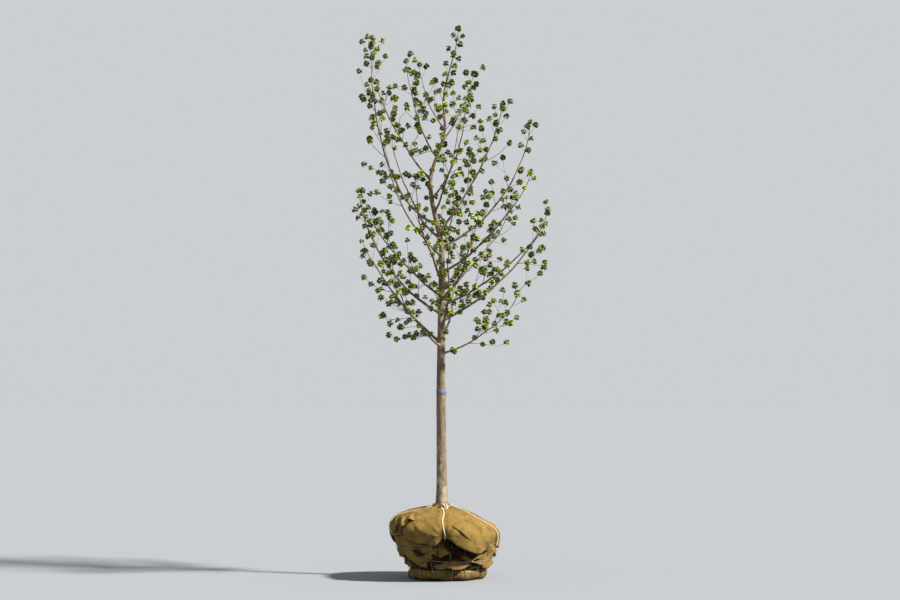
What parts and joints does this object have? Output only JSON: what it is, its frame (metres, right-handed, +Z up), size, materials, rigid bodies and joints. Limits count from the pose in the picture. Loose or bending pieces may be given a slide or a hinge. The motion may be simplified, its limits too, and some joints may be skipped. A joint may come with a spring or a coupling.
{
  "type": "sapling with root ball",
  "caption": "Young nursery shade tree with a clear stem, a light open crown of ascending boughs and a squat burlap-wrapped root ball that it stands on.",
  "frame": {"origin": "centre of the flat underside of the root ball, on the ground", "axes": "+Z up along the stem, +X to the right and +Y away from the eye in the front view"},
  "size_m": [1.5486, 1.4312, 4.22],
  "materials": {
    "burlap": "matte",
    "bark": "matte",
    "foliage": "satin"
  },
  "bodies": {
    "root": {"root_ball": "burlap", "trunk": "bark", "bough_back": "bark", "bough_back_high": "bark", "bough_back_left": "bark", "bough_back_low": "bark", "bough_back_right": "bark", "bough_front": "bark", "bough_front_high": "bark", "bough_front_left": "bark", "bough_front_low": "bark", "bough_left": "bark", "bough_left_back": "bark", "bough_left_fork": "bark", "bough_left_high": "bark", "bough_left_low": "bark", "bough_left_low_front": "bark", "bough_mid_left": "bark", "bough_right": "bark", "bough_right_foot": "bark", "bough_right_front": "bark", "bough_right_high": "bark", "bough_right_low": "bark", "bough_right_low_front": "bark", "bough_right_mid": "bark", "bough_top_left": "bark", "bough_top_right": "bark", "foliage_back": "foliage", "foliage_back_high": "foliage", "foliage_back_left": "foliage", "foliage_back_low": "foliage", "foliage_back_right": "foliage", "foliage_front": "foliage", "foliage_front_high": "foliage", "foliage_front_left": "foliage", "foliage_front_low": "foliage", "foliage_leader_low": "foliage", "foliage_leader_mid": "foliage", "foliage_leader_top": "foliage", "foliage_left": "foliage", "foliage_left_back": "foliage", "foliage_left_fork": "foliage", "foliage_left_high_inner": "foliage", "foliage_left_high_tip": "foliage", "foliage_left_low": "foliage", "foliage_left_low_front": "foliage", "foliage_mid_left": "foliage", "foliage_right": "foliage", "foliage_right_foot": "foliage", "foliage_right_front": "foliage", "foliage_right_high": "foliage", "foliage_right_low": "foliage", "foliage_right_low_front": "foliage", "foliage_right_mid": "foliage", "foliage_top_left": "foliage", "foliage_top_right": "foliage"}
  },
  "joints": []
}
